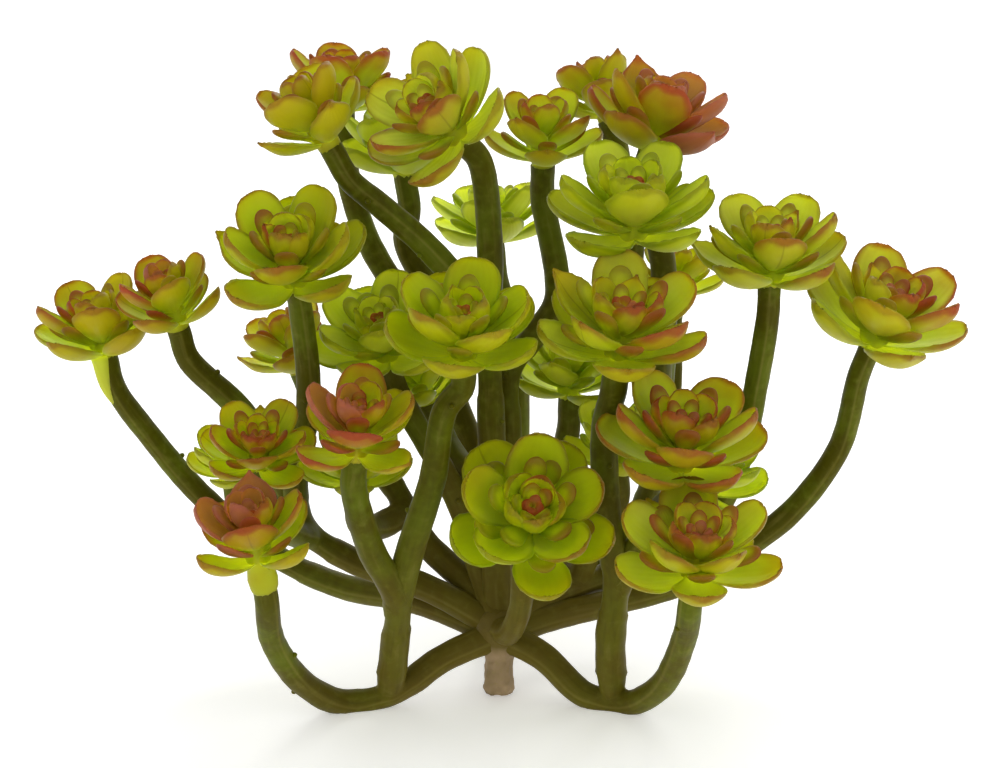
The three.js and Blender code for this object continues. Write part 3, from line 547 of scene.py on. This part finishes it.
def makeLeaf(name, plan, blade, outline, seed):
    thick, width, reach, columns = blade["thick"], plan["width"], plan["reach"], blade["columns"]
    rings = len(outline) - 1
    bpy.ops.mesh.primitive_cube_add(size=1, location=(0, 0, reach / 2), scale=(thick, width, reach))
    leaf = bpy.context.object
    leaf.name = name
    applyPlace()
    splitEdges(leaf, 2, rings - 1)
    splitEdges(leaf, 1, columns - 1)
    places = [vert.co.copy() for vert in leaf.data.vertices]
    tip = reach * (rings - 1.5) / rings
    setValues(leaf, along=[outline[round(co.z / reach * rings)][0] for co in places],
              across=[co.y / width * 2 for co in places],
              side=[math.copysign(1, co.x) for co in places],
              rim=[float(abs(co.y) > leafZone["rimFrom"] * width or co.z > tip) for co in places])
    bpy.ops.object.mode_set(mode="EDIT")
    # towards the sides the blade is thinner and stands up
    for column in range(columns // 2 + 1):
        share = 2 * column / columns
        pickVerts(leaf, lambda co, k: abs(abs(co.y) / width * 2 - share) < 0.01)
        bpy.ops.transform.resize(value=(1 - (1 - blade["edgeThick"]) * share ** 2, 1, 1),
                                 center_override=(0, 0, reach / 2))
        pickVerts(leaf, lambda co, k: abs(abs(co.y) / width * 2 - share) < 0.01 and co.z < 0.99 * reach)
        bpy.ops.transform.translate(value=(blade["cup"] * share ** 2, 0, 0))
    if blade["groove"]:
        low, high = leafZone["groove"]
        pickVerts(leaf, lambda co, k: abs(co.y) < 0.01 and co.x > 0 and low < co.z / reach < high)
        bpy.ops.transform.translate(value=(-blade["groove"], 0, 0))
    parking = 10  # a shaped ring waits this far above the leaf, so that no two rings are picked together
    for ring in range(rings, -1, -1):
        along, share = outline[ring]
        level = reach * ring / rings
        pickVerts(leaf, lambda co, k: abs(co.z - level) < 0.2 * reach / rings)
        hollow = blade["tipThick"] + (1 - blade["tipThick"]) * min(1, share) ** 2
        bpy.ops.transform.resize(value=(hollow, share, 1), center_override=(0, 0, level))
        # the outer half closes like a spoon, up to a rim in one plane
        raised = 1 if ring == rings else 1 - hollow
        lift = 0 if along < leafZone["spoonFrom"] else blade["cup"] * blade["spoon"] * raised
        bpy.ops.transform.translate(value=(lift, 0, reach * along - level + parking))
    bpy.ops.mesh.select_all(action="SELECT")
    bpy.ops.transform.translate(value=(0, 0, -parking))
    pickVerts(leaf, lambda co, k: abs(co.y) > leafZone["waveFrom"] * width)
    bpy.ops.transform.vertex_random(offset=blade["wave"], seed=seed)
    facesOutward()
    bpy.ops.object.mode_set(mode="OBJECT")
    applyModifier(leaf, "SUBSURF", levels=1, render_levels=1)
    if blade["nibble"]:
        # the trimmed rim is slightly uneven
        rim = [entry.value for entry in leaf.data.attributes["rim"].data]
        makeActive(leaf)
        bpy.ops.object.mode_set(mode="EDIT")
        pickVerts(leaf, lambda co, k: rim[k] > leafZone["nibbleFrom"])
        bpy.ops.transform.vertex_random(offset=blade["nibble"], seed=seed + 20)
        bpy.ops.object.mode_set(mode="OBJECT")
    applyModifier(leaf, "SIMPLE_DEFORM", deform_method="BEND", deform_axis="Y",
                  angle=math.radians(plan["curl"]))
    bpy.ops.object.shade_smooth()
    return leaf


print("stage: leaf blanks")
blanks = {}
for mould, plans in leafPlan.items():
    for kind, plan in plans.items():
        blade = bladeShape[plan["blade"]]
        blanks[mould, kind] = [makeLeaf(f"blank_{mould}_{kind}_{k}", plan, blade, outline, k + 3)
                               for k, outline in enumerate(blade["versions"])]


stemShape = {
    "root": 4.0, "tip": 3.1, "neck": 8.0, "gap": 0.3, "plug": 1.8, "step": 1.5, "seam": 0.32, "around": 18,
    "flare": 0.2, "flareFrom": 3.0, "flareLength": 13.0, "forkRoot": 0.8, "knots": 0.06,
    "sleeve": 10.0, "sleeveExtra": 0.4, "web": 8.0, "bendSteps": 24, "sharp": 45, "weld": 0.01,
    "longSteps": 31,
}
nubShape = {
    "base": 1.2, "top": 0.5, "height": 1.5, "sides": 9, "out": 0.2, "low": (0.3, 0.55), "high": (0.6, 0.85),
}


def smoothLine(points, step):
    # a centripetal Catmull-Rom line through the points, sampled at even steps
    ends = [points[0] * 2 - points[1]] + points + [points[-1] * 2 - points[-2]]
    fine = []
    for a, b, c, d in zip(ends, ends[1:], ends[2:], ends[3:]):
        t1 = max((b - a).length, 1e-9) ** 0.5
        t2 = t1 + (c - b).length ** 0.5
        t3 = t2 + max((d - c).length, 1e-9) ** 0.5
        for k in range(stemShape["bendSteps"]):
            t = t1 + (t2 - t1) * k / stemShape["bendSteps"]
            ab = a * ((t1 - t) / t1) + b * (t / t1)
            bc = b * ((t2 - t) / (t2 - t1)) + c * ((t - t1) / (t2 - t1))
            cd = c * ((t3 - t) / (t3 - t2)) + d * ((t - t2) / (t3 - t2))
            abc = ab * ((t2 - t) / t2) + bc * (t / t2)
            bcd = bc * ((t3 - t) / (t3 - t1)) + cd * ((t - t1) / (t3 - t1))
            fine.append(abc * ((t2 - t) / (t2 - t1)) + bcd * ((t - t1) / (t2 - t1)))
    fine.append(points[-1])
    lengths = [0]
    for a, b in zip(fine, fine[1:]):
        lengths.append(lengths[-1] + (b - a).length)
    count = max(4, round(lengths[-1] / step))
    line = []
    k = 0
    for i in range(count + 1):
        want = lengths[-1] * i / count
        while k < len(fine) - 2 and lengths[k + 1] < want:
            k += 1
        span = max(lengths[k + 1] - lengths[k], 1e-9)
        line.append(fine[k].lerp(fine[k + 1], min(1, (want - lengths[k]) / span)))
    return line


def runLine(run):
    lean = Vector(run["lean"]).normalized()
    end = Vector(run["end"])
    points = [Vector(p) for p in run["route"]]
    points += [end - lean * stemShape["neck"], end - lean * stemShape["gap"], end + lean * stemShape["plug"]]
    return smoothLine(points, stemShape["step"])


def addCurve(name, places, radii, closed):
    bpy.ops.object.add(type="CURVE")
    curve = bpy.context.object
    curve.name = name
    curve.data.dimensions = "3D"
    spline = curve.data.splines.new("POLY")
    spline.points.add(len(places) - 1)
    for point, place, radius in zip(spline.points, places, radii):
        point.co = (*place, 1)
        point.radius = radius
    spline.use_cyclic_u = closed
    return curve


def makeSection():
    # the stem's round section, with the mould's parting line as two fine ridges
    around = stemShape["around"]
    places = []
    for k in range(around):
        angle = 2 * math.pi * k / around
        reach = mm * (1 + (stemShape["seam"] / stemShape["root"] if k in (0, around // 2) else 0))
        places.append((math.cos(angle) * reach, math.sin(angle) * reach, 0))
    return addCurve("stemSection", places, [1] * around, True)


section = makeSection()


def makeTube(line, radii, name):
    curve = addCurve(name, [hub + place * mm for place in line], radii, False)
    curve.data.bevel_mode = "OBJECT"
    curve.data.bevel_object = section
    curve.data.use_fill_caps = True
    curve.data.twist_mode = "MINIMUM"
    makeActive(curve)
    bpy.ops.object.convert(target="MESH")
    tube = bpy.context.object
    around = stemShape["around"]
    rows = [divmod(k, around) for k in range(len(tube.data.vertices))]
    setValues(tube, seam=[float(column in (0, around // 2)) for row, column in rows],
              turnX=[math.cos(2 * math.pi * column / around) for row, column in rows],
              turnY=[math.sin(2 * math.pi * column / around) for row, column in rows],
              length=[row * stemShape["step"] for row, column in rows])
    bpy.ops.object.mode_set(mode="EDIT")
    bpy.ops.mesh.select_all(action="SELECT")
    bpy.ops.mesh.remove_doubles(threshold=stemShape["weld"] * mm)
    facesOutward()
    bpy.ops.object.mode_set(mode="OBJECT")
    return tube


def makeNub(line, radii, share, turn):
    # a trimmed sprue or leaf scar that stands out of the stem
    k = round(share * (len(line) - 1))
    ahead = (line[k + 1] - line[k - 1]).normalized()
    out = (Matrix.Rotation(turn, 3, ahead) @ ahead.orthogonal()).normalized()
    sunk = radii[k] + nubShape["height"] * nubShape["out"]
    bpy.ops.mesh.primitive_cone_add(
        vertices=nubShape["sides"], radius1=nubShape["base"] * mm, radius2=nubShape["top"] * mm,
        depth=nubShape["height"] * mm, location=hub + (line[k] + out * sunk) * mm,
        rotation=out.to_track_quat("Z", "Y").to_euler())
    nub = bpy.context.object
    applyPlace()
    applyModifier(nub, "SUBSURF", levels=1, render_levels=1)
    return nub


def stemRadii(run, first, count, rand):
    radii = []
    for k in range(count):
        away = k * stemShape["step"]
        radius = stemShape["root"] + (stemShape["tip"] - stemShape["root"]) * k / (count - 1)
        if not first and away < stemShape["flareFrom"]:
            radius *= stemShape["forkRoot"]
        else:
            radius *= 1 + stemShape["flare"] * max(0, 1 - away / stemShape["flareLength"]) ** 2
        radius *= run.get("thin", 1) * (1 + stemShape["knots"] * rand.uniform(-0.5, 0.5))
        if run.get("sleeve") and away < stemShape["sleeve"]:
            radius += stemShape["sleeveExtra"]
        radii.append(radius)
    if run.get("sleeve"):
        return radii
    return [(a + b * 2 + c) / 4 for a, b, c in zip([radii[0]] + radii, radii, radii[1:] + [radii[-1]])]


def makeStem(branch, seed):
    rand = random.Random(seed)
    tubes = []
    forks = []
    for number, run in enumerate(branch["runs"]):
        line = runLine(run)
        radii = stemRadii(run, number == 0, len(line), rand)
        tubes.append(makeTube(line, radii, f"tube_{branch['name']}_{number}"))
        if number:
            forks.append(hub + line[0] * mm)
        shares = [rand.uniform(*nubShape["low"]), rand.uniform(*nubShape["high"])]
        for share in shares[: 2 if len(line) > stemShape["longSteps"] else 1]:
            tubes.append(makeNub(line, radii, share, rand.uniform(0, 2 * math.pi)))
    stem = tubes[0]
    for tube in tubes[1:]:
        applyModifier(stem, "BOOLEAN", operation="UNION", solver="MANIFOLD", object=tube)
        bpy.data.objects.remove(tube)
    makeActive(stem)
    bpy.ops.object.mode_set(mode="EDIT")
    if forks:
        # the fork is a soft web in the moulding
        web = stemShape["web"] * mm
        pickVerts(stem, lambda co, k: any((co - fork).length < web for fork in forks))
        bpy.ops.mesh.vertices_smooth(factor=0.5, repeat=6)
    if min(vert.co.z for vert in bmesh.from_edit_mesh(stem.data).verts) < 0:
        pickVerts(stem, lambda co, k: co.z < 0)
        bpy.ops.transform.resize(value=(1, 1, 0), center_override=(0, 0, 0))
    bpy.ops.object.mode_set(mode="OBJECT")
    bpy.ops.object.shade_smooth_by_angle(angle=math.radians(stemShape["sharp"]))
    stem.name = "moulded_stem_" + branch["name"]
    stem.data.name = stem.name
    return stem


print("stage: stems")
stemFinish = stemMaterial("oliveStem")
for index, branch in enumerate(branches):
    stem = makeStem(branch, index + 11)
    stem.data.materials.clear()
    stem.data.materials.append(stemFinish)
    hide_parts("stem_" + branch["name"])
    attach(stem, "root")


headShape = {
    "stray": 5, "leafAngle": 3, "clubAngle": 4, "rise": 3, "roll": 6, "stretch": (0.88, 1.06),
    "redSpread": (0.75, 1.2), "redSwing": 0.6, "budRed": (0.3, 0.8), "warmSpread": (-0.2, 0.25),
    "paleSpread": (-0.2, 0.2), "leastPale": -1.0, "creased": 0.14,
}
# cupRings are shares of the cup's radius and depth
coreShape = {
    "bottom": 2.8, "spread": 1.08, "spreadAt": 0.03, "width": 0.19, "topWidth": 0.7, "peak": 0.06,
    "sides": 14,
    "shoulder": {"large": 0.24, "small": 0.42}, "top": {"large": 0.44, "small": 0.62},
    "cup": 4.0, "cupDepth": 6.0, "cupRings": [(0.8, 1), (0.9, 0.85), (0.98, 0.4), (0.9, 0)],
    "neck": 0.82, "neckAt": 0.1,
}
sheathShape = {
    "length": 19.0, "thick": 2.7, "tip": 0.25, "taper": 0.45, "out": 1.7, "side": (-0.75, -0.65, 0),
}
leafFinishes = {slot: leafMaterial("waxy" + slot.replace("leaf_", "").capitalize()) for slot in
                ("leaf_green", "leaf_bright", "leaf_pale", "leaf_olive", "leaf_yellow", "leaf_red")}


def draw(seed):
    # a seeded draw from -1 to 1, the same as in the part's source
    mixed = abs(math.sin(seed * 12.9898)) * 43758.5453
    return 2 * (mixed - math.floor(mixed)) - 1


def placedLeaf(blank, plan, radius, angle, rise, roll, stretch):
    leaf = blank.copy()
    leaf.data = blank.data.copy()
    bpy.context.scene.collection.objects.link(leaf)
    lying = Matrix(((0, 0, 1), (0, -1, 0), (1, 0, 0))).to_4x4()
    turned = Matrix.Rotation(math.radians(angle), 4, "Z")
    raised = Matrix.Translation((0, 0, plan["root"])) @ Matrix.Rotation(-math.radians(rise), 4, "Y")
    rolled = Matrix.Rotation(math.radians(roll), 4, "Z") @ Matrix.Diagonal((1, stretch, 1, 1))
    leaf.data.transform(Matrix.Scale(radius, 4) @ turned @ raised @ lying @ rolled)
    return leaf


def makeCore(run, radius):
    # the heart that the leaves grow from, and on some heads a cup that hangs over the stem's end
    bottom, width, mould = coreShape["bottom"] * mm, coreShape["width"] * radius, run["mould"]
    rings = [(bottom, 0), (bottom * coreShape["spread"], coreShape["spreadAt"] * radius),
             (width, coreShape["shoulder"][mould] * radius),
             (width * coreShape["topWidth"], coreShape["top"][mould] * radius)]
    if run.get("collar"):
        cup, depth = coreShape["cup"] * mm, coreShape["cupDepth"] * mm
        cupRings = [(cup * wide, -depth * deep) for wide, deep in coreShape["cupRings"]]
        rings[:2] = cupRings + [(cup * coreShape["neck"], coreShape["neckAt"] * radius)]
    bpy.ops.mesh.primitive_circle_add(vertices=coreShape["sides"], radius=rings[0][0], fill_type="NGON",
                                      location=(0, 0, rings[0][1]))
    core = bpy.context.object
    applyPlace()
    bpy.ops.object.mode_set(mode="EDIT")
    extrudeRings(rings, Vector((0, 0, 0)))
    bpy.ops.mesh.extrude_region_move(TRANSFORM_OT_translate={"value": (0, 0, radius * coreShape["peak"])})
    bpy.ops.mesh.merge(type="CENTER")
    facesOutward()
    bpy.ops.object.mode_set(mode="OBJECT")
    bpy.ops.object.shade_smooth()
    # painted shade: the heart mostly takes the shaded underside greens
    setValues(core, along=0.45, across=0.6, side=-1.0, rim=0.0, red=0.0, warm=run["warm"], pale=run["pale"],
              crease=0.0)
    return core


def makeSheath(run):
    # a tapering flap of leaf that lies along the top of the stem
    line = runLine(run)[::-1]
    side = Vector(sheathShape["side"])
    count = round(sheathShape["length"] / stemShape["step"])
    places = [line[k] + side * sheathShape["out"] for k in range(count + 1)]
    radii = [sheathShape["thick"] * (1 - k / count) ** sheathShape["taper"] + sheathShape["tip"]
             for k in range(count + 1)]
    sheath = makeTube(places, radii, "sheath_flap")
    bpy.ops.object.shade_smooth()
    # painted light: the flap is painted partly in the lit inner-face greens
    setValues(sheath, along=0.15, across=0.6, side=1.0, rim=0.0, red=0.0, warm=0.2, pale=run["pale"],
              crease=0.0)
    return sheath


def makeHead(run, name, seed):
    radius = rosetteRadius[run["mould"]] * run.get("scale", 1) * mm
    rand = random.Random(seed)
    leaves = []
    whorls = []
    for kind, plan in leafPlan[run["mould"]].items():
        club = kind.endswith("Club")
        if not club:
            level = len(whorls)
            whorls.append([(headShape["stray"] * draw(seed * 31 + level * 7 + i),
                            headShape["stray"] * draw(seed * 17 + level * 5 + i))
                           for i in range(plan["count"])])
        loose = headShape["clubAngle"] if club else headShape["leafAngle"]
        for i in range(plan["count"]):
            strayRise, strayAngle = whorls[-1][i]
            angle = plan["turn"] + i * 360 / plan["count"] + strayAngle + rand.uniform(-loose, loose)
            rise = plan["rise"] - run.get("open", 0) + strayRise
            rise += rand.uniform(-headShape["rise"], headShape["rise"])
            red = run["red"] * plan["red"] * rand.uniform(*headShape["redSpread"])
            if kind == "outer":
                red *= run.get("outerRed", 1)
            if "redAt" in run:
                red *= 1 + headShape["redSwing"] * math.cos(math.radians(angle + run["turn"] - run["redAt"]))
            if kind == "bud":
                least, extra = headShape["budRed"]
                red = max(red, least) + extra
            warm = run["warm"] + rand.uniform(*headShape["warmSpread"])
            pale = run["pale"] + rand.uniform(*headShape["paleSpread"])
            # some broad leaves get a painted shade line down their fold
            crease = float(plan["blade"] == "broad" and rand.random() < headShape["creased"])
            blank = rand.choices(blanks[run["mould"], kind], bladeShape[plan["blade"]]["often"])[0]
            roll = rand.uniform(-headShape["roll"], headShape["roll"])
            stretch = rand.uniform(*headShape["stretch"])
            leaf = placedLeaf(blank, plan, radius, angle, rise, roll, stretch)
            setValues(leaf, red=max(0.0, red), warm=max(0.0, warm), crease=crease,
                      pale=max(headShape["leastPale"], pale))
            leaves.append(leaf)
    head = joinPieces(leaves + [makeCore(run, radius)], name)
    tilt = Vector((0, 0, 1)).rotation_difference(Vector(run["lean"]).normalized()).to_matrix().to_4x4()
    turn = Matrix.Rotation(math.radians(run["turn"]), 4, "Z")
    head.data.transform(Matrix.Translation(hub + Vector(run["end"]) * mm) @ tilt @ turn @ head.matrix_world)
    head.matrix_world = Matrix.Identity(4)
    if run.get("sheath"):
        head = joinPieces([head, makeSheath(run)], name)
    head.data.materials.clear()
    head.data.materials.append(leafFinishes[run["slot"]])
    return head


print("stage: heads")
seed = 1
for branch in branches:
    for number, run in enumerate(branch["runs"]):
        place = f"{branch['name']}_{number + 1}"
        head = makeHead(run, "leaf_head_" + place, seed)
        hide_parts("rosette_" + place)
        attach(head, "root")
        seed += 1
for versions in blanks.values():
    for blank in versions:
        bpy.data.objects.remove(blank)
bpy.data.objects.remove(section)

print("stage: stub")
# rings are (radius, height) in mm, from the cut end up
stubShape = {
    "sides": 16, "inset": 1.0, "hollow": 0.7, "endBand": 0.1, "uneven": 0.77, "unevenSeed": 5,
    "ragged": 0.85, "raggedBelow": 3.0, "raggedSeed": 9, "rest": 0.2,
    "rings": [(3.9, 0.6), (4.6, 1.8), (4.4, 4.0), (4.0, 6.5), (4.1, 9.0), (4.1, 11.0), (4.4, 13.0),
              (5.6, 14.8), (6.9, 17.0), (7.1, 20.5), (6.0, 24.0), (3.2, 26.0)],
}


def makeStub():
    rings = [(radius * mm, height * mm) for radius, height in stubShape["rings"]]
    bpy.ops.mesh.primitive_circle_add(vertices=stubShape["sides"], radius=rings[0][0], fill_type="NGON",
                                      location=(hub.x, hub.y, rings[0][1]))
    stub = bpy.context.object
    stub.name = "cut_stub"
    applyPlace()
    bpy.ops.object.mode_set(mode="EDIT")
    extrudeRings(rings, hub)
    # the cut end is slightly hollow
    pickVerts(stub, lambda co, k: co.z < rings[0][1] + stubShape["endBand"] * mm)
    bpy.ops.mesh.edge_face_add()
    bpy.ops.mesh.inset(thickness=stubShape["inset"] * mm)
    bpy.ops.transform.translate(value=(0, 0, stubShape["hollow"] * mm))
    facesOutward()
    bpy.ops.object.mode_set(mode="OBJECT")
    applyModifier(stub, "SUBSURF", levels=1, render_levels=1)
    bpy.ops.object.mode_set(mode="EDIT")
    bpy.ops.mesh.select_all(action="SELECT")
    bpy.ops.transform.vertex_random(offset=stubShape["uneven"] * mm, seed=stubShape["unevenSeed"])
    pickVerts(stub, lambda co, k: co.z < stubShape["raggedBelow"] * mm)
    bpy.ops.transform.vertex_random(offset=stubShape["ragged"] * mm, seed=stubShape["raggedSeed"])
    bpy.ops.object.mode_set(mode="OBJECT")
    applyModifier(stub, "SUBSURF", levels=1, render_levels=1)
    bpy.ops.object.shade_smooth()
    lowest = min(vert.co.z for vert in stub.data.vertices)
    stub.data.transform(Matrix.Translation((0, 0, max(0.0, stubShape["rest"] * mm - lowest))))
    return stub


stub = makeStub()
stub.data.materials.append(stubMaterial("cutStub"))
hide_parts("stub")
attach(stub, "root")

print("stage: floor, light and camera")
studio = {
    "floor": (0.96, 0.96, 0.955), "floorSize": 12, "glow": 0.36, "world": 0.75, "aim": (0, 0, 0.09),
    "lights": [{"name": "keyLight", "place": (-0.55, -0.75, 1.0), "size": 0.6, "power": 0.7},
               {"name": "fillLight", "place": (0.9, -0.6, 0.6), "size": 0.8, "power": 1.4},
               {"name": "rimLight", "place": (0.2, 1.0, 0.8), "size": 0.7, "power": 5.0}],
}
bpy.ops.mesh.primitive_plane_add(size=studio["floorSize"], location=(0, 0, 0))
floor = bpy.context.object
floor.name = "floor"
floorFinish = Finish("paleFloor", {
    "Base Color": (*studio["floor"], 1), "Roughness": 0.8, "Emission Color": (1, 1, 1, 1),
    "Emission Strength": studio["glow"]})
floor.data.materials.append(floorFinish.material)

world = bpy.data.worlds.new("studio")
bpy.context.scene.world = world
world.use_nodes = True
background = world.node_tree.nodes["Background"]
background.inputs["Color"].default_value = (1, 1, 1, 1)
background.inputs["Strength"].default_value = studio["world"]

for light in studio["lights"]:
    aim = Vector(studio["aim"]) - Vector(light["place"])
    bpy.ops.object.light_add(type="AREA", location=light["place"],
                             rotation=aim.to_track_quat("-Z", "Y").to_euler())
    lamp = bpy.context.object
    lamp.name = light["name"]
    lamp.data.shape = "DISK"
    lamp.data.size = light["size"]
    lamp.data.energy = light["power"]

view = {
    "elevation": 14, "distance": 0.7, "height": 0.089, "lens": 93.52, "sensor": 36, "near": 0.01, "far": 50,
}
slope = math.radians(view["elevation"])
back = view["distance"] * math.cos(slope)
up = view["distance"] * math.sin(slope)
bpy.ops.object.camera_add(location=(hub.x, hub.y - back, view["height"] + up),
                          rotation=(math.pi / 2 - slope, 0, 0))
camera = bpy.context.object
camera.data.lens = view["lens"]
camera.data.sensor_width = view["sensor"]
camera.data.clip_start = view["near"]
camera.data.clip_end = view["far"]
bpy.context.scene.camera = camera
bpy.context.scene.view_settings.view_transform = "Standard"

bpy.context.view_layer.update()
